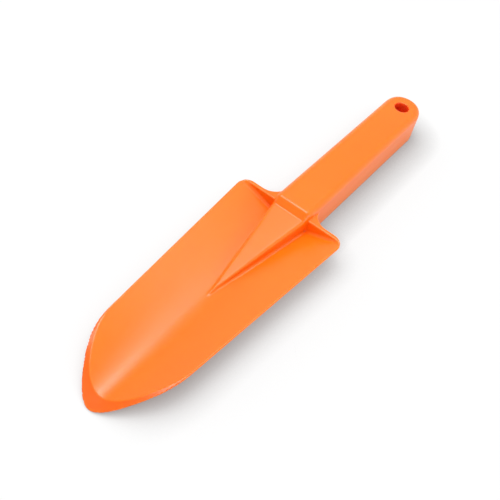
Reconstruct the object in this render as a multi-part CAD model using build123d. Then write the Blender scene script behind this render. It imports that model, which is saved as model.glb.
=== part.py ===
from build123d import *
import math
import os

# One-piece moulded hand trowel. Millimetres, +Z up.
# Origin: middle of the length and width, on the ground plane the trowel lies on.
# +X runs from the handle to the blade tip, +Y across the blade.

# Driving dimensions
LENGTH = 300.0          # end of the handle to blade tip
HANDLE_HALF_W = 12.2    # half width of the handle
HANDLE_TOP = 21.4       # height of the handle's flat top
WALL = 2.6              # side walls of the handle and of the tang rib
TOP_WALL = 2.8          # top wall of the handle and of the tang rib
BLADE_T = 2.8           # blade thickness along the middle
RIM_T = 1.5             # blade thickness at its side rims
SHOULDER_Z = 16.6       # height of the lip across the shoulders
SHOULDER_X = -14.9      # rear face of the shoulder wall
SHOULDER_T = 2.8        # thickness of the shoulder wall
SHOULDER_R = 7.5        # outer corners of the shoulders, in plan
ROOT_R = 10.4           # concave corners between handle and shoulders, in plan
HOLE_R = 4.7            # hang hole
HOLE_X = -137.4         # hang hole centre
BOSS_R = 7.0            # tube around the hang hole
RIB_T = 1.8             # ribs inside the handle
RIB_XS = (-112.0, -80.0, -48.0)
RIB_Z = 5.0             # lower edge of those ribs
STEP_X0 = -12.6         # where the handle's flat top ends
STEP_X1 = -8.8          # rear ridge of the tang rib
STEP_Z1 = 17.5          # height of that ridge
TANG_TIP_X = 61.0       # where the tang rib would come to a point
TANG_TIP_Z = 6.3
TANG_TAPER = 0.1587     # how fast the half width of the tang rib shrinks
TANG_MIN_HALF_W = 2.1   # half width it keeps where it dips into the blade
TANG_END_X = 72.0
TOP_EDGE_R = 2.0        # rounding of the top edges of handle and tang rib
WEB_Z = 6.5             # lowest part of the corner webs
FOOT_R = 2.0            # fillet where the shoulder wall meets the blade
EDGE_T = 0.6            # thickness left at the ground edge of the tip

END_X = -LENGTH / 2.0
TIP_X = LENGTH / 2.0
END_C = END_X + HANDLE_HALF_W
WALL_X = SHOULDER_X + SHOULDER_T


# The blade is a trough with straight sides that draw together towards the tip.
def half_width(x):
    return 35.4 - 0.0697 * (x + 7.0)


def rim_z(x):
    return SHOULDER_Z - 0.0155 * (x - WALL_X)


def floor_z(x):
    return 6.3 - 3.2 * max(0.0, (x - 50.0) / 95.0) ** 1.5


def roundness(x):
    return 12.0 - 2.0 * (x + 12.0) / 150.0


def rise(x, y):
    r, w = roundness(x), half_width(x)
    return (math.hypot(y, r) - r) / (math.hypot(w, r) - r)


def trough_z(x, y):
    return floor_z(x) + (rim_z(x) - floor_z(x)) * rise(x, y)


# The sheet thins from the middle towards the side rims.
def thickness(x, y):
    return BLADE_T - (BLADE_T - RIM_T) * min(rise(x, y), 1.25)


def under_z(x, y):
    d = 0.05
    sx = (trough_z(x + d, y) - trough_z(x - d, y)) / (2 * d)
    sy = (trough_z(x, y + d) - trough_z(x, y - d)) / (2 * d)
    return trough_z(x, y) - thickness(x, y) * math.sqrt(1 + sx * sx + sy * sy)


def sheet(fn, x0, x1, y1, nx, ny):
    rows = []
    for i in range(nx):
        x = x0 + (x1 - x0) * i / (nx - 1)
        row = []
        for j in range(ny):
            y = -y1 + 2 * y1 * j / (ny - 1)
            row.append(Vector(x, y, fn(x, y)))
        rows.append(row)
    return Face.make_surface_from_array_of_points(rows, tol=2e-3, min_deg=3, max_deg=5)


# Plan outline of the blade, from the straight sides round the pointed tip.
TIP_OUTLINE = [
    (107.7, 27.40),
    (112.9, 26.85),
    (117.7, 25.90),
    (122.6, 24.35),
    (127.2, 22.30),
    (131.7, 19.70),
    (136.2, 16.65),
    (140.9, 13.00),
    (145.4, 8.75),
    (148.7, 4.40),
    (TIP_X, 0.0),
]
# Inner edge of the bevel that thins the tip, paired with the outline points.
TIP_BEVEL = [
    (107.3, 27.10),
    (112.1, 26.10),
    (116.6, 24.70),
    (120.8, 23.00),
    (124.8, 20.90),
    (128.9, 18.40),
    (132.9, 15.60),
    (136.6, 12.20),
    (139.6, 8.20),
    (141.5, 4.20),
    (142.2, 0.0),
]


def blade_outline():
    sx = SHOULDER_X
    right = [(x, y) for x, y in TIP_OUTLINE]
    left = [(x, -y) for x, y in reversed(TIP_OUTLINE[:-1])]
    w0 = half_width(sx)
    side = Line((sx, w0), TIP_OUTLINE[0])
    slope = Vector(TIP_OUTLINE[0][0] - sx, TIP_OUTLINE[0][1] - w0, 0).normalized()
    nose = Spline(*(right + left), tangents=[slope, Vector(-slope.X, slope.Y, 0)])
    other = Line((TIP_OUTLINE[0][0], -TIP_OUTLINE[0][1]), (sx, -w0))
    back = Line((sx, -w0), (sx, w0))
    face = make_face(Curve() + [side, nose, other, back])
    corners = [v for v in face.vertices() if abs(v.X - sx) < 1e-6]
    return fillet(corners, SHOULDER_R)


# Blade blank with the shoulder wall, hollowed from above and from below.
blade = extrude(blade_outline(), SHOULDER_Z)
above = Solid.extrude(sheet(trough_z, -30, 165, 46, 60, 41), Vector(0, 0, 60))
above = above & Pos(WALL_X + 100, 0, 0) * Box(200, 120, 160)
below = Solid.extrude(sheet(under_z, -30, 165, 46, 60, 41), Vector(0, 0, -60))
blade = blade - above - below


# Bevel of the tip: straight lines from the outline up to the inner edge.
def bevel_line(v):
    pts = []
    pairs = list(zip(TIP_OUTLINE, TIP_BEVEL))
    pairs = pairs + [((a[0], -a[1]), (b[0], -b[1])) for a, b in reversed(pairs[:-1])]
    for (xo, yo), (xi, yi) in pairs:
        zo = under_z(xo, yo) + EDGE_T
        zi = trough_z(xi, yi)
        pts.append((xo + v * (xi - xo), yo + v * (yi - yo), zo + v * (zi - zo)))
    return Spline(*pts)


bevel = Face.make_surface_from_curves(bevel_line(-0.7), bevel_line(1.6))
blade = blade - Solid.extrude(bevel, Vector(0, 0, 30))


# Plan of handle and tang rib together: a bar with a half-round end that
# draws in to a narrow tip. inset gives the inside of the wall.
def plan_view(inset):
    k = TANG_TAPER
    side = inset * math.hypot(1, k)
    w = HANDLE_HALF_W - inset
    xa = TANG_TIP_X - (w + side) / k
    xb = TANG_TIP_X - (TANG_MIN_HALF_W + side) / k
    m = TANG_MIN_HALF_W
    right = [(END_C, w), (xa, w), (xb, m), (TANG_END_X - 2 * inset, m)]
    left = [(x, -y) for x, y in reversed(right)]
    face = make_face(
        Curve()
        + [Line(p, q) for p, q in zip((right + left)[:-1], (right + left)[1:])]
        + [ThreePointArc((END_C, -w), (END_C - w, 0), (END_C, w))]
    )
    face = fillet([v for v in face.vertices() if abs(v.X - xa) < 0.01], 12.0)
    return fillet([v for v in face.vertices() if abs(v.X - xb) < 0.01], 40.0)


# Side view of the same; drop gives the inside of the top wall.
def side_view(z0, drop, r):
    slope = math.atan2(STEP_Z1 - TANG_TIP_Z, TANG_TIP_X - STEP_X1)
    step = math.atan2(HANDLE_TOP - STEP_Z1, STEP_X1 - STEP_X0)
    xa = STEP_X0 - drop * math.tan(step / 2)
    xb = STEP_X1 - drop * math.sin((step + slope) / 2) / math.cos((step - slope) / 2)
    zb = STEP_Z1 - drop * math.cos((step + slope) / 2) / math.cos((step - slope) / 2)
    xe = TANG_END_X + 5
    ze = zb - (xe - xb) * math.tan(slope)
    pts = [(END_X - 5, z0), (END_X - 5, HANDLE_TOP - drop), (xa, HANDLE_TOP - drop)]
    pts += [(xb, zb), (xe, ze), (xe, z0)]
    face = make_face(Plane.XZ * Polyline(*pts, close=True))
    soft = [v for v in face.vertices() if abs(v.X - xa) < 0.01 or abs(v.X - xb) < 0.01]
    return extrude(fillet(soft, r), 30, both=True)


core = extrude(plan_view(0), 30) & side_view(0, 0, 3.0)
rim = [
    e
    for e in core.edges()
    if abs(e.center().Y) > 0.5
    and abs((e @ 0).X - (e @ 1).X) > 0.5
    and e.center().Z > 3
]
rim += [e for e in core.edges() if e.center().X < END_C - 1 and e.center().Z > 3]
core = fillet(rim, TOP_EDGE_R)
core = core - Pos(WALL_X + 100, 0, 0) * Box(200, 60, 8)
hollow = Pos(0, 0, -5) * extrude(plan_view(WALL), 40) & side_view(-5, TOP_WALL, 3.0)


# Webs that round the inside corners between handle and shoulders.
def corner_web(s):
    y0, x0, r = s * (HANDLE_HALF_W - 1), SHOULDER_X + 1, ROOT_R
    ye, xe = s * HANDLE_HALF_W, SHOULDER_X
    mid = (xe - r + r * math.sqrt(0.5), ye + s * (r - r * math.sqrt(0.5)))
    face = make_face(
        Curve()
        + [
            Line((xe - r, y0), (x0, y0)),
            Line((x0, y0), (x0, ye + s * r)),
            Line((x0, ye + s * r), (xe, ye + s * r)),
            ThreePointArc((xe, ye + s * r), mid, (xe - r, ye)),
            Line((xe - r, ye), (xe - r, y0)),
        ]
    )
    return Pos(0, 0, WEB_Z) * extrude(face, SHOULDER_Z - WEB_Z) - below


shell = blade + core + corner_web(1) + corner_web(-1)
rounded = [
    e
    for e in shell.edges()
    if abs(e.center().X - WALL_X) < 0.02
    and 5.5 < e.center().Z < SHOULDER_Z - 0.3
    and abs(e.center().Y) > HANDLE_HALF_W
    and e.length > 5
]
shell = fillet(rounded, FOOT_R)
shell = shell - hollow

# Hang hole tube, tied to the end wall and side walls, and the stiffening ribs.
boss = Pos(HOLE_X, 0, 10) * Cylinder(BOSS_R, 20)
boss += Pos(HOLE_X, 0, 10) * Box(RIB_T, 2 * HANDLE_HALF_W - 2, 20)
boss += Pos((END_X + 1 + HOLE_X) / 2, 0, 10) * Box(HOLE_X - END_X - 1, RIB_T, 20)
inside = Pos(0, 0, 0.0) * extrude(plan_view(WALL - 0.5), 40) & side_view(
    0, TOP_WALL - 0.5, 3.0
)
boss = boss & inside
ribs = [
    Pos(x, 0, (RIB_Z + 20) / 2) * Box(RIB_T, 2 * HANDLE_HALF_W - 2, 20 - RIB_Z)
    for x in RIB_XS
]
trowel = shell + boss
for r in ribs:
    trowel += r & inside
trowel -= Pos(HOLE_X, 0, 10) * Cylinder(HOLE_R, 60)
trowel = trowel.clean()

if __name__ == "__main__":
    os.makedirs("parts", exist_ok=True)
    print([(s.volume, s.is_valid) for s in trowel.solids()], trowel.bounding_box())
    export_step(trowel, "parts/trowel_moulding.step")
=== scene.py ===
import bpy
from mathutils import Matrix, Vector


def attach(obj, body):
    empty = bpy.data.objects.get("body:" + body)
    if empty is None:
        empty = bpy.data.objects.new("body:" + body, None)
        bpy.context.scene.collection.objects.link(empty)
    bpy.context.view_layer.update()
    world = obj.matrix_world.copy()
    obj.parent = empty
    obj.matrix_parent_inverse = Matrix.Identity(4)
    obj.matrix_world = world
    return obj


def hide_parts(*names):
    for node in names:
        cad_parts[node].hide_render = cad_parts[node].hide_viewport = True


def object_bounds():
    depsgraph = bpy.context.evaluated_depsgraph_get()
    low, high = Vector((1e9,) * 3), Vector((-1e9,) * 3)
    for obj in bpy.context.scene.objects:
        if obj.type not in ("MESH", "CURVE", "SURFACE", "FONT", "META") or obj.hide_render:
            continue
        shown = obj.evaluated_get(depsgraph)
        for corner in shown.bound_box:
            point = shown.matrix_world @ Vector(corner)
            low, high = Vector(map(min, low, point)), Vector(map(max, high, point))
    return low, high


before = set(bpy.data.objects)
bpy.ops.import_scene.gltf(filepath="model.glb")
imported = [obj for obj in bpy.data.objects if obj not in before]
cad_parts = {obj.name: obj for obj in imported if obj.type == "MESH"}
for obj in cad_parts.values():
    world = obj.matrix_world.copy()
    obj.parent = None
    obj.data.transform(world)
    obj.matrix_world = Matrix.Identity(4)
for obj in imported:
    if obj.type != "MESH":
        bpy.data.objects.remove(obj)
cad_box = [[float(c) for c in corner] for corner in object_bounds()]

import math

import bpy
import numpy as np
from mathutils import Matrix, Vector

# ---------------------------------------------------------------------------
# Hand trowel, one moulding. All shape numbers are millimetres in the row frame
# (+X handle to tip, +Y across, +Z up) and are the design sizes of the CAD node.
# The visible skin is meshed from a distance function of the same design, so it
# can carry the small radii that a moulding has on every edge.
# ---------------------------------------------------------------------------
LENGTH = 300.0
HANDLE_HALF_W = 12.2
HANDLE_TOP = 21.4
WALL = 2.6
TOP_WALL = 2.8
BLADE_T, RIM_T = 2.8, 1.5
SHOULDER_Z = 16.6
SHOULDER_X = -14.9
WALL_X = -12.1
SHOULDER_R = 7.5
ROOT_R = 10.4
HOLE_R = 4.7
HOLE_X = -137.4
BOSS_R = 7.0
RIB_T = 1.8
RIB_XS = (-112.0, -80.0, -48.0)
RIB_Z = 5.0
STEP_X0, STEP_X1, STEP_Z1 = -12.6, -8.8, 17.5
TANG_TIP_X, TANG_TIP_Z = 61.0, 6.9
TANG_MIN_HALF_W = 0.6
FOOT_R = 2.0
EDGE_T = 0.6
END_C = -LENGTH / 2 + HANDLE_HALF_W
TAPER = 0.1587

TIP_OUTLINE = [
    (107.7, 27.40), (112.9, 26.85), (117.7, 25.90), (122.6, 24.35), (127.2, 22.30), (131.7, 19.70),
    (136.2, 16.65), (140.9, 13.00), (145.4, 8.75), (148.7, 4.40), (150.0, 0.0),
]
TIP_BEVEL = [
    (107.3, 27.10), (112.1, 26.10), (116.6, 24.70), (120.8, 23.00), (124.8, 20.90), (128.9, 18.40),
    (132.9, 15.60), (136.6, 12.20), (139.6, 8.20), (141.5, 4.20), (142.2, 0.0),
]


def half_width(x):
    return 35.4 - 0.0697 * (x + 7.0)


def round_union(a, b, r):
    return np.maximum(r, np.minimum(a, b)) - np.hypot(np.maximum(r - a, 0), np.maximum(r - b, 0))


def round_cut(a, b, r):
    return np.minimum(-r, np.maximum(a, b)) + np.hypot(np.maximum(r + a, 0), np.maximum(r + b, 0))


def smooth(a, b, x):
    t = np.clip((x - a) / (b - a), 0, 1)
    return t * t * (3 - 2 * t)


def kink(t, w):
    """0 before, t after, with the corner at 0 rounded over a length w."""
    return np.where(t < -w / 2, 0.0, np.where(t > w / 2, t, (t + w / 2) ** 2 / (2 * w)))


def spline(points, start, step):
    """A smooth line through points mirrored about y = 0, from its first point to the axis."""
    p = np.array(points + [(x, -y) for x, y in reversed(points[:-1])], float)
    s = np.concatenate([[0], np.cumsum(np.hypot(*np.diff(p, axis=0).T))])
    n = len(p)
    a, b = np.zeros((n, n)), np.zeros((n, 2))
    h = np.diff(s)
    for i in range(1, n - 1):
        a[i, i - 1], a[i, i], a[i, i + 1] = h[i], 2 * (h[i - 1] + h[i]), h[i - 1]
        b[i] = 3 * (h[i] * (p[i] - p[i - 1]) / h[i - 1] + h[i - 1] * (p[i + 1] - p[i]) / h[i])
    a[0, 0] = a[-1, -1] = 1
    b[0], b[-1] = start, (-start[0], start[1])
    m = np.linalg.solve(a, b)
    out = []
    for i in range(len(points) - 1):
        k = max(2, int(math.ceil(h[i] / step)))
        t = (np.arange(k) / k)[:, None]
        out.append(
            (2 * t**3 - 3 * t**2 + 1) * p[i] + (t**3 - 2 * t**2 + t) * h[i] * m[i]
            + (-2 * t**3 + 3 * t**2) * p[i + 1] + (t**3 - t**2) * h[i] * m[i + 1]
        )
    return np.vstack(out + [p[len(points) - 1][None]])


side = np.array([1.0, -0.0697]) / math.hypot(1, 0.0697)
NOSE = spline(TIP_OUTLINE, side, 0.6)
NOSE = np.vstack([[40.0, half_width(40.0)], NOSE, [[150.0, -3.0]]])
BEVEL_START = np.array([1.0, -0.16]) / math.hypot(1, 0.16)
INNER = spline(TIP_BEVEL, BEVEL_START, 0.6)
INNER = np.vstack([INNER[:1] - BEVEL_START * 30, INNER, [[142.2, -3.0]]])


def line_distance(path, x, y):
    """Signed distance to a line that turns to its right all the way; positive outside."""
    best = np.full(x.shape, 1e9)
    sign = np.ones(x.shape)
    for (ax, ay), (bx, by) in zip(path[:-1], path[1:]):
        dx, dy = bx - ax, by - ay
        t = np.clip(((x - ax) * dx + (y - ay) * dy) / (dx * dx + dy * dy), 0, 1)
        ex, ey = x - ax - t * dx, y - ay - t * dy
        d = ex * ex + ey * ey
        near = d < best
        best = np.where(near, d, best)
        sign = np.where(near, np.where(dx * (y - ay) - dy * (x - ax) > 0, 1.0, -1.0), sign)
    return np.sqrt(best) * sign


def outline_distance(x, y):
    flat = (y - half_width(x)) / math.hypot(1, 0.0697)
    out = flat.copy()
    nose = x > 96
    if nose.any():
        out[nose] = line_distance(NOSE, x[nose], y[nose])
    return out


def trough(x, y):
    """Height of the scoop's upper skin, the length of its gradient vector, and the sheet's thickness."""
    r = 12.0 - 2.0 * (x + 12.0) / 150.0
    w = half_width(x)
    floor = 6.3 - 3.2 * (np.maximum(0.0, x - 50.0) / 95.0) ** 1.5
    rim = SHOULDER_Z - 0.0155 * (x - WALL_X)
    span = np.hypot(w, r) - r
    rise = (np.hypot(y, r) - r) / span
    z = floor + (rim - floor) * rise
    sy = (rim - floor) * y / np.hypot(y, r) / span
    sx = -3.2 * 1.5 / 95.0 * (np.maximum(0.0, x - 50.0) / 95.0) ** 0.5
    return z, np.sqrt(1 + sy * sy + sx * sx), BLADE_T - (BLADE_T - RIM_T) * np.minimum(rise, 1.25)


def plan_width(x, inset):
    """Half width of handle and tang in plan."""
    shift = inset * math.hypot(1, TAPER)
    xa = TANG_TIP_X - (HANDLE_HALF_W - inset + shift) / TAPER
    xb = TANG_TIP_X - (TANG_MIN_HALF_W + shift) / TAPER
    w = HANDLE_HALF_W - inset - TAPER * kink(x - xa, 2.4) + TAPER * kink(x - xb, 6.3)
    slope = -TAPER * smooth(xa - 1.2, xa + 1.2, x) + TAPER * smooth(xb - 3, xb + 3, x)
    return w, slope


def plan_distance(x, y, inset):
    w, slope = plan_width(x, inset)
    bar = (y - w) / np.sqrt(1 + slope * slope)
    return np.where(x < END_C, np.hypot(x - END_C, y) - HANDLE_HALF_W + inset, bar)


def top_distance(x, z, drop):
    steep = (HANDLE_TOP - STEP_Z1) / (STEP_X1 - STEP_X0)
    shallow = (STEP_Z1 - TANG_TIP_Z) / (TANG_TIP_X - STEP_X1)
    x0 = STEP_X0 - drop * math.tan(math.atan(steep) / 2)
    x1 = STEP_X1 - drop * 0.39
    top = HANDLE_TOP - drop - steep * kink(x - x0, 2.3) + (steep - shallow) * kink(x - x1, 1.1)
    top = top - 0.35 * kink(x - TANG_TIP_X + 2.0, 3.0)
    slope = -steep * smooth(x0 - 1.15, x0 + 1.15, x) + (steep - shallow) * smooth(x1 - 0.55, x1 + 0.55, x)
    return (z - top) / np.sqrt(1 + slope * slope)


def body(x, y, z):
    """Distance to the moulding's skin in millimetres, negative inside the plastic."""
    y = np.abs(y)
    zt, k, sheet = trough(x, y)
    under = -(z - zt) / k - sheet
    out = outline_distance(x, y)
    plan_blade = round_cut(out, SHOULDER_X - x, SHOULDER_R)
    plan_core = plan_distance(x, y, 0.0)
    # thinning bevel round the nose
    skin = (z - zt) / k
    nose = x > 100
    if nose.any():
        d_in = line_distance(INNER, x[nose], y[nose])
        d_out = -out[nose]
        band = np.maximum(d_in + d_out, 0.05)
        v = np.clip(d_in / band, -0.4, 1.4)
        drop = np.minimum(sheet[nose] - EDGE_T, 0.55 * band)
        soft = 0.9 / np.maximum(band, 1.8)
        ramp = np.where(v < -soft / 2, 0.0, np.where(v > soft / 2, v, (v + soft / 2) ** 2 / (2 * soft)))
        skin[nose] = skin[nose] + drop * ramp
    air = round_cut(-skin, WALL_X - x, FOOT_R)
    lid = round_cut(z - SHOULDER_Z, -air, 0.8)
    # blade and corner webs share one plan, filleted where the shoulders meet the handle
    webbed = round_union(plan_blade, plan_core, ROOT_R)
    plan = np.where(x < WALL_X, np.minimum(webbed, plan_blade), plan_blade)
    rim = 1.1 - 0.8 * smooth(100, 122, x)
    blade = round_cut(plan, lid, rim)
    blade = np.maximum(np.maximum(blade, under - 0.6), SHOULDER_X - ROOT_R - 1.0 - x)
    top = top_distance(x, z, 0.0)
    edge = 4.2 - 2.2 * smooth(-20, -8, x) - 1.8 * smooth(-138, -149, x) - 0.9 * smooth(10, 56, x)
    core = round_cut(plan_core, top, edge)
    core = np.maximum(core, -z - 0.6)
    foot = 0.02 + 0.5 * smooth(-20, -15.5, x) + 1.5 * smooth(-12.5, -8.5, x) - 0.9 * smooth(30, 58, x)
    solid = round_union(blade, core, foot)
    # underside: the ground plane below the handle, the curved skin below the blade
    base = np.minimum(under, np.maximum(np.maximum(x - WALL_X, plan_core - 0.5), -z))
    solid = round_cut(solid, base, 0.4)
    # coring of the handle and tang, open below
    inner = round_cut(plan_distance(x, y, WALL), top_distance(x, z, TOP_WALL), 1.0)
    shell = round_cut(solid, -inner, 0.45)
    # tube of the hang hole with its webs, and three stiffening ribs
    hx = x - HOLE_X
    radius = np.hypot(hx, y)
    tube = radius - BOSS_R
    web = np.minimum(np.abs(hx) - RIB_T / 2, np.maximum(y - RIB_T / 2, hx))
    boss = round_union(tube, web, 0.8)
    ribs = np.full(x.shape, 1e3)
    for rx in RIB_XS:
        ribs = np.minimum(ribs, round_cut(np.abs(x - rx) - RIB_T / 2, RIB_Z - z, 0.5))
    inside = np.maximum(np.maximum(inner - 1.2, -z), x - WALL_X)
    added = round_cut(np.minimum(boss, ribs), inside, 0.4)
    shell = round_union(shell, added, 0.7)
    shell = np.maximum(shell, -z)
    return round_cut(shell, HOLE_R - radius, 0.55)


# ---------------------------------------------------------------------------
# Meshing: dual mesh on a grid that is fine where the shape is fine, then every
# point is brought onto the skin and takes its normal from it.
# ---------------------------------------------------------------------------
def ticks(stops):
    """stops: (from, to, spacing) one after another."""
    out = [stops[0][0]]
    for a, b, s in stops:
        n = max(1, int(round((b - a) / (1.29 * s))))
        out += [a + (b - a) * (i + 1) / n for i in range(n)]
    return np.array(out)


xs = [(-151.2, -128.0, 0.42)]
for rx in RIB_XS:
    xs += [(xs[-1][1], rx - 2.4, 1.25), (rx - 2.4, rx + 2.4, 0.45)]
xs += [(xs[-1][1], -25.0, 1.25), (-25.0, -5.5, 0.4), (-5.5, 50.0, 0.95), (50.0, 64.0, 0.7), (64.0, 100.0, 1.1), (100.0, 136.0, 0.52), (136.0, 151.2, 0.40)]
half = [(0.0, 3.0, 0.38), (3.0, 7.6, 0.55), (7.6, 12.6, 0.36), (12.6, 27.0, 0.62), (27.0, 36.6, 0.42)]
X = ticks(xs)
yh = ticks(half)
Y = np.concatenate([-yh[:0:-1], yh])
Z = ticks([(-1.4, 0.9, 0.33), (0.9, 14.0, 0.44), (14.0, 22.5, 0.33)])


def evaluate(p):
    out = np.empty(len(p))
    for i in range(0, len(p), 400000):
        q = p[i : i + 400000]
        out[i : i + 400000] = body(q[:, 0].copy(), q[:, 1].copy(), q[:, 2].copy())
    return out


def dual_mesh():
    gx, gy, gz = np.meshgrid(X, yh, Z, indexing="ij")
    f = evaluate(np.stack([gx.ravel(), gy.ravel(), gz.ravel()], 1)).reshape(gx.shape)
    f = np.concatenate([f[:, :0:-1], f], axis=1)
    f = np.where(np.abs(f) < 1e-6, 1e-6, f)
    s = f < 0
    nx, ny, nz = f.shape
    mixed = np.zeros((nx - 1, ny - 1, nz - 1), np.int8)
    for a in (0, 1):
        for b in (0, 1):
            for c in (0, 1):
                mixed += s[a : nx - 1 + a, b : ny - 1 + b, c : nz - 1 + c]
    cells = np.argwhere((mixed > 0) & (mixed < 8))
    label = np.full(mixed.shape, -1, np.int32)
    label[tuple(cells.T)] = np.arange(len(cells))
    total, count = np.zeros((len(cells), 3)), np.zeros(len(cells))
    corners = [(a, b, c) for a in (0, 1) for b in (0, 1) for c in (0, 1)]
    for p in corners:
        for axis in range(3):
            if p[axis]:
                continue
            q = list(p)
            q[axis] = 1
            ia, ib = cells + p, cells + q
            fa, fb = f[tuple(ia.T)], f[tuple(ib.T)]
            cross = (fa < 0) != (fb < 0)
            t = np.where(cross, fa / np.where(cross, fa - fb, 1), 0)[:, None]
            pa = np.stack([X[ia[:, 0]], Y[ia[:, 1]], Z[ia[:, 2]]], 1)
            pb = np.stack([X[ib[:, 0]], Y[ib[:, 1]], Z[ib[:, 2]]], 1)
            total += np.where(cross[:, None], pa + t * (pb - pa), 0)
            count += cross
    verts = total / count[:, None]
    quads = []
    for axis in range(3):
        lo = [slice(None)] * 3
        hi = [slice(None)] * 3
        lo[axis], hi[axis] = slice(0, -1), slice(1, None)
        change = s[tuple(lo)] != s[tuple(hi)]
        e = np.argwhere(change)
        u, v = (axis + 1) % 3, (axis + 2) % 3
        keep = (e[:, u] > 0) & (e[:, v] > 0) & (e[:, u] < f.shape[u] - 1) & (e[:, v] < f.shape[v] - 1)
        e = e[keep]
        around = []
        for du, dv in ((-1, -1), (0, -1), (0, 0), (-1, 0)):
            c = e.copy()
            c[:, u] += du
            c[:, v] += dv
            around.append(label[tuple(c.T)])
        q = np.stack(around, 1)
        flip = ~s[tuple(e.T)]
        q[flip] = q[flip][:, ::-1]
        quads.append(q)
    return verts, np.vstack(quads)


def gradient(p, h):
    g = np.empty_like(p)
    for i in range(3):
        d = np.zeros(3)
        d[i] = h
        g[:, i] = (evaluate(p + d) - evaluate(p - d)) / (2 * h)
    return g


verts, quads = dual_mesh()
for _ in range(3):
    g = gradient(verts, 0.03)
    value = evaluate(verts)
    step = (value / np.maximum((g * g).sum(1), 0.25))[:, None] * g
    length = np.linalg.norm(step, axis=1, keepdims=True)
    verts = verts - step * np.minimum(1.0, 0.25 / np.maximum(length, 1e-9))
low, high = (np.array(corner) * 1000.0 for corner in cad_box)
verts = np.clip(verts, low + 0.001, high - 0.001)
verts[:, 2] = np.where(verts[:, 2] < 0.002, low[2], verts[:, 2])
g = gradient(verts, 0.05)
normals = g / np.maximum(np.linalg.norm(g, axis=1, keepdims=True), 1e-9)
h = 0.5
bend = (
    sum(evaluate(verts + np.eye(3)[i] * h) + evaluate(verts - np.eye(3)[i] * h) for i in range(3)) - 6 * evaluate(verts)
) / h**2

mesh = bpy.data.meshes.new("trowel_skin")
mesh.vertices.add(len(verts))
mesh.vertices.foreach_set("co", (verts / 1000.0).astype(np.float32).ravel())
mesh.loops.add(quads.size)
mesh.loops.foreach_set("vertex_index", quads.astype(np.int32).ravel())
mesh.polygons.add(len(quads))
mesh.polygons.foreach_set("loop_start", np.arange(0, quads.size, 4, dtype=np.int32))
mesh.polygons.foreach_set("loop_total", np.full(len(quads), 4, np.int32))
mesh.polygons.foreach_set("use_smooth", np.ones(len(quads), bool))
mesh.update(calc_edges=True)
edge_attr = mesh.attributes.new("edge", "FLOAT", "POINT")
edge_attr.data.foreach_set("value", np.clip(bend, -1, 1).astype(np.float32))
# painted shade: the upward faces of the bevel round the nose are marked for a darker orange, standing in for shade
# where they face away from the light
tip_painted_shade_attr = mesh.attributes.new("tip_painted_shade", "FLOAT", "POINT")
beyond = line_distance(INNER, verts[:, 0], np.abs(verts[:, 1]))
bevel = np.where((verts[:, 0] > 100) & (normals[:, 2] > 0.2), smooth(0.0, 0.9, beyond), 0.0)
tip_painted_shade_attr.data.foreach_set("value", bevel.astype(np.float32))
# painted bounce light: marks the wall of the hang hole, which is painted redder
hole_painted_bounce_attr = mesh.attributes.new("hole_painted_bounce", "FLOAT", "POINT")
hole_painted_bounce = smooth(HOLE_R + 0.45, HOLE_R + 0.10, np.hypot(verts[:, 0] - HOLE_X, verts[:, 1]))
hole_painted_bounce_attr.data.foreach_set("value", hole_painted_bounce.astype(np.float32))
mesh.normals_split_custom_set_from_vertices(normals.tolist())
mesh.validate()
print("skin", len(verts), "points", len(quads), "quads", "box", verts.min(0), verts.max(0))

trowel = bpy.data.objects.new("trowel_body", mesh)
bpy.context.scene.collection.objects.link(trowel)
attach(trowel, "root")
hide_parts("trowel_moulding")
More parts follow.
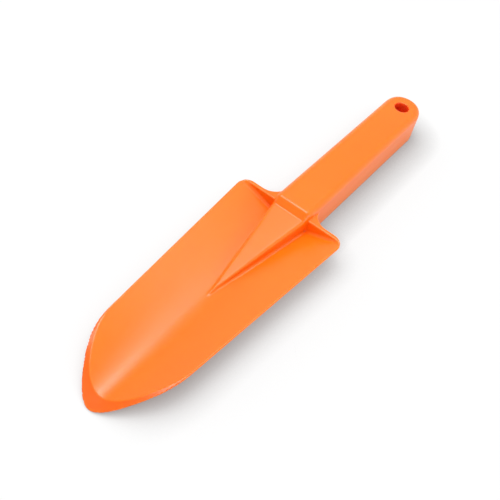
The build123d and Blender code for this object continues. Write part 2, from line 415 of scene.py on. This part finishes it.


# ---------------------------------------------------------------------------
# Orange polypropylene, satin: fine mould texture, a little unevenness of tone
# and gloss, light rubbing on the outer edges; painted shade on the nose bevel
# and painted red bounce light on the wall of the hang hole.
# ---------------------------------------------------------------------------
def plastic():
    m = bpy.data.materials.new("orange_plastic_satin")
    m.use_nodes = True
    nt = m.node_tree
    nodes, links = nt.nodes, nt.links
    nodes.clear()
    out = nodes.new("ShaderNodeOutputMaterial")
    bsdf = nodes.new("ShaderNodeBsdfPrincipled")
    links.new(bsdf.outputs["BSDF"], out.inputs["Surface"])
    coords = nodes.new("ShaderNodeTexCoord").outputs["Object"]

    def noise(scale, detail, rough=0.5, vector=None):
        n = nodes.new("ShaderNodeTexNoise")
        n.inputs["Scale"].default_value = scale
        n.inputs["Detail"].default_value = detail
        n.inputs["Roughness"].default_value = rough
        links.new(vector or coords, n.inputs["Vector"])
        return n.outputs["Fac"]

    def remap(value, a, b, c, d):
        n = nodes.new("ShaderNodeMapRange")
        for key, v in zip(("From Min", "From Max", "To Min", "To Max"), (a, b, c, d)):
            n.inputs[key].default_value = v
        links.new(value, n.inputs["Value"])
        return n.outputs["Result"]

    def math_node(op, a, b):
        n = nodes.new("ShaderNodeMath")
        n.operation = op
        for i, v in enumerate((a, b)):
            if isinstance(v, (int, float)):
                n.inputs[i].default_value = v
            else:
                links.new(v, n.inputs[i])
        return n.outputs[0]

    def mix(fac, a, b):
        n = nodes.new("ShaderNodeMix")
        n.data_type = "RGBA"
        links.new(fac, n.inputs["Factor"])
        for key, v in ((6, a), (7, b)):
            if isinstance(v, tuple):
                n.inputs[key].default_value = v
            else:
                links.new(v, n.inputs[key])
        return n.outputs[2]

    edge = nodes.new("ShaderNodeAttribute")
    edge.attribute_name = "edge"
    edge_fac = remap(edge.outputs["Fac"], 0.25, 0.95, 0.0, 1.0)

    flow = nodes.new("ShaderNodeMapping")
    flow.inputs["Scale"].default_value = (0.35, 1.0, 1.0)
    links.new(coords, flow.inputs["Vector"])
    clouds = noise(38.0, 3.0, 0.55, flow.outputs["Vector"])
    tone = remap(clouds, 0.32, 0.68, 0.0, 1.0)
    base = mix(tone, BASE_A, BASE_B)
    specks = remap(noise(900.0, 2.0, 0.5), 0.58, 0.74, 0.0, 0.35)
    base = mix(specks, base, BASE_C)
    rub = math_node("MULTIPLY", edge_fac, remap(noise(260.0, 4.0, 0.6), 0.40, 0.66, 0.0, 0.55))
    # painted shade: the bevel round the nose is painted a darker orange
    tip_painted_shade = nodes.new("ShaderNodeAttribute")
    tip_painted_shade.attribute_name = "tip_painted_shade"
    base = mix(tip_painted_shade.outputs["Fac"], base, BASE_TIP_PAINTED_SHADE)
    # painted light: the wall of the hang hole is painted a redder orange, standing in for light that comes through the
    # plastic and bounces inside the hole
    hole_painted_bounce = nodes.new("ShaderNodeAttribute")
    hole_painted_bounce.attribute_name = "hole_painted_bounce"
    base = mix(hole_painted_bounce.outputs["Fac"], base, BASE_HOLE_PAINTED_BOUNCE)
    base = mix(rub, base, BASE_W)
    links.new(base, bsdf.inputs["Base Color"])

    # gloss: cloudy, duller where rubbed
    rough = remap(noise(120.0, 3.0, 0.6), 0.3, 0.7, ROUGH_LO, ROUGH_HI)
    rough = math_node("ADD", rough, math_node("MULTIPLY", rub, 0.10))
    links.new(rough, bsdf.inputs["Roughness"])

    # relief: moulded grain about half a millimetre across, and a long slow wave
    grain = noise(1500.0, 3.0, 0.55)
    wave = noise(90.0, 1.0, 0.4)
    b1 = nodes.new("ShaderNodeBump")
    b1.inputs["Strength"].default_value = 0.12
    b1.inputs["Distance"].default_value = 0.0006
    links.new(wave, b1.inputs["Height"])
    b2 = nodes.new("ShaderNodeBump")
    b2.inputs["Strength"].default_value = 0.10
    b2.inputs["Distance"].default_value = 0.00012
    links.new(grain, b2.inputs["Height"])
    links.new(b1.outputs["Normal"], b2.inputs["Normal"])
    links.new(b2.outputs["Normal"], bsdf.inputs["Normal"])

    bsdf.inputs["Metallic"].default_value = 0.0
    bsdf.inputs["IOR"].default_value = 1.49
    bsdf.inputs["Specular IOR Level"].default_value = 0.5
    bsdf.inputs["Subsurface Weight"].default_value = SSS_WEIGHT
    bsdf.inputs["Subsurface Radius"].default_value = (1.0, 0.22, 0.06)
    bsdf.inputs["Subsurface Scale"].default_value = 0.003
    return m


BASE_A = (0.980, 0.175, 0.0010, 1.0)
BASE_B = (0.992, 0.190, 0.0014, 1.0)
BASE_C = (0.97, 0.167, 0.0010, 1.0)
# painted shade colour for the bevel round the nose
BASE_TIP_PAINTED_SHADE = (0.975, 0.135, 0.0005, 1.0)
# painted red bounce light colour for the wall of the hang hole
BASE_HOLE_PAINTED_BOUNCE = (0.998, 0.085, 0.012, 1.0)
BASE_W = (0.98, 0.23, 0.018, 1.0)
ROUGH_LO, ROUGH_HI = 0.285, 0.345
SSS_WEIGHT = 0.15

material = plastic()
mesh.materials.append(material)

# ---------------------------------------------------------------------------
# Floor, light, camera
# ---------------------------------------------------------------------------
FLOOR_GLOW, FLOOR_MATTE = 0.86, 0.13

floor_mesh = bpy.data.meshes.new("floor_sheet")
S = 6.0
floor_mesh.from_pydata([(-S, -S, -0.0003), (S, -S, -0.0003), (S, S, -0.0003), (-S, S, -0.0003)], [], [(0, 1, 2, 3)])
floor = bpy.data.objects.new("floor_sheet", floor_mesh)
bpy.context.scene.collection.objects.link(floor)
fm = bpy.data.materials.new("floor_glow_painted_shadow")
fm.use_nodes = True
ft = fm.node_tree
ft.nodes.clear()


def painted_shadow_layer(distance, lean, share):
    """Painted shadow: how open the floor is to the light on that side, within a distance; it darkens the floor's glow.
    """
    n = ft.nodes.new("ShaderNodeAmbientOcclusion")
    n.samples = 8
    n.inputs["Color"].default_value = (1.0, 1.0, 1.0, 1.0)
    n.inputs["Distance"].default_value = distance
    v = ft.nodes.new("ShaderNodeCombineXYZ")
    for axis, c in zip("XYZ", lean):
        v.inputs[axis].default_value = c
    ft.links.new(v.outputs[0], n.inputs["Normal"])
    m = ft.nodes.new("ShaderNodeMath")
    m.operation = "MULTIPLY"
    m.inputs[1].default_value = share * FLOOR_GLOW
    ft.links.new(n.outputs["AO"], m.inputs[0])
    return m.outputs[0]


# the floor glows by itself; the two layers paint the trowel's shadows into that glow (painted shadow), and a weak matte
# part takes real light
total = ft.nodes.new("ShaderNodeMath")
total.operation = "ADD"
ft.links.new(painted_shadow_layer(0.022, (0.52, -0.58, 0.63), 0.72), total.inputs[0])
ft.links.new(painted_shadow_layer(0.100, (0.30, -0.25, 0.92), 0.28), total.inputs[1])
glow = ft.nodes.new("ShaderNodeEmission")
glow.inputs["Color"].default_value = (1.0, 1.0, 1.0, 1.0)
ft.links.new(total.outputs[0], glow.inputs["Strength"])
matte = ft.nodes.new("ShaderNodeBsdfDiffuse")
matte.inputs["Color"].default_value = (FLOOR_MATTE, FLOOR_MATTE, FLOOR_MATTE, 1.0)
both = ft.nodes.new("ShaderNodeAddShader")
ft.links.new(glow.outputs[0], both.inputs[0])
ft.links.new(matte.outputs[0], both.inputs[1])
floor_out = ft.nodes.new("ShaderNodeOutputMaterial")
ft.links.new(both.outputs[0], floor_out.inputs["Surface"])
floor_mesh.materials.append(fm)

scene = bpy.context.scene
world = bpy.data.worlds.new("studio")
scene.world = world
world.use_nodes = True
wt = world.node_tree
bg = wt.nodes["Background"]
bg.inputs["Color"].default_value = (1.0, 1.0, 1.0, 1.0)
# a pale room: white low down all round; higher up brighter on the handle's side
split = wt.nodes.new("ShaderNodeSeparateXYZ")
wt.links.new(wt.nodes.new("ShaderNodeTexCoord").outputs["Generated"], split.inputs[0])
room = wt.nodes.new("ShaderNodeMapRange")
room.interpolation_type = "SMOOTHSTEP"
for key, v in zip(("From Min", "From Max", "To Min", "To Max"), (-0.45, 0.15, 0.62, 0.34)):
    room.inputs[key].default_value = v
wt.links.new(split.outputs["X"], room.inputs["Value"])
level = wt.nodes.new("ShaderNodeMapRange")
level.interpolation_type = "SMOOTHSTEP"
for key, v in zip(("From Min", "From Max", "To Min"), (0.25, 0.70, 0.95)):
    level.inputs[key].default_value = v
wt.links.new(split.outputs["Z"], level.inputs["Value"])
wt.links.new(room.outputs["Result"], level.inputs["To Max"])
wt.links.new(level.outputs["Result"], bg.inputs["Strength"])


def soft_box(name, direction, distance, size, radiance):
    """A rectangular light facing the origin; radiance is what a mirror would show."""
    d = Vector(direction).normalized()
    light = bpy.data.lights.new(name, "AREA")
    light.shape = "RECTANGLE"
    light.size, light.size_y = size
    light.energy = radiance * math.pi * size[0] * size[1]
    o = bpy.data.objects.new(name, light)
    z = d
    x = (Vector((1, 0, 0)) - z * z.x).normalized()
    o.matrix_world = Matrix.Translation(d * distance) @ Matrix((x, z.cross(x), z)).transposed().to_4x4()
    scene.collection.objects.link(o)
    return o


soft_box("key_box", (0.02, -0.20, 0.975), 0.65, (0.23, 0.33), 9.2)
soft_box("fill_box", (0.10, 0.97, 0.22), 1.3, (0.8, 0.5), 2.9)
soft_box("wide_box", (-0.345, 0.03, 0.947), 0.66, (0.32, 0.37), 3.0)

cam_data = bpy.data.cameras.new("photo_view")
cam = bpy.data.objects.new("photo_view", cam_data)
scene.collection.objects.link(cam)
fwd = Vector((-0.598927, -0.290683, -0.746184)).normalized()
right = Vector((-0.595000, 0.785170, 0.171708))
right = (right - fwd * right.dot(fwd)).normalized()
up = right.cross(fwd)
rot = Matrix((right, up, -fwd)).transposed()
cam.matrix_world = Matrix.Translation(Vector((0.30365, 0.134473, 0.358793))) @ rot.to_4x4()
cam_data.sensor_width = 36.0
cam_data.lens = 61.35
cam_data.clip_start = 0.01
scene.camera = cam

scene.view_settings.view_transform = "Standard"
scene.view_settings.look = "None"
scene.view_settings.exposure = 0.0
scene.view_settings.gamma = 1.0

bpy.context.view_layer.update()
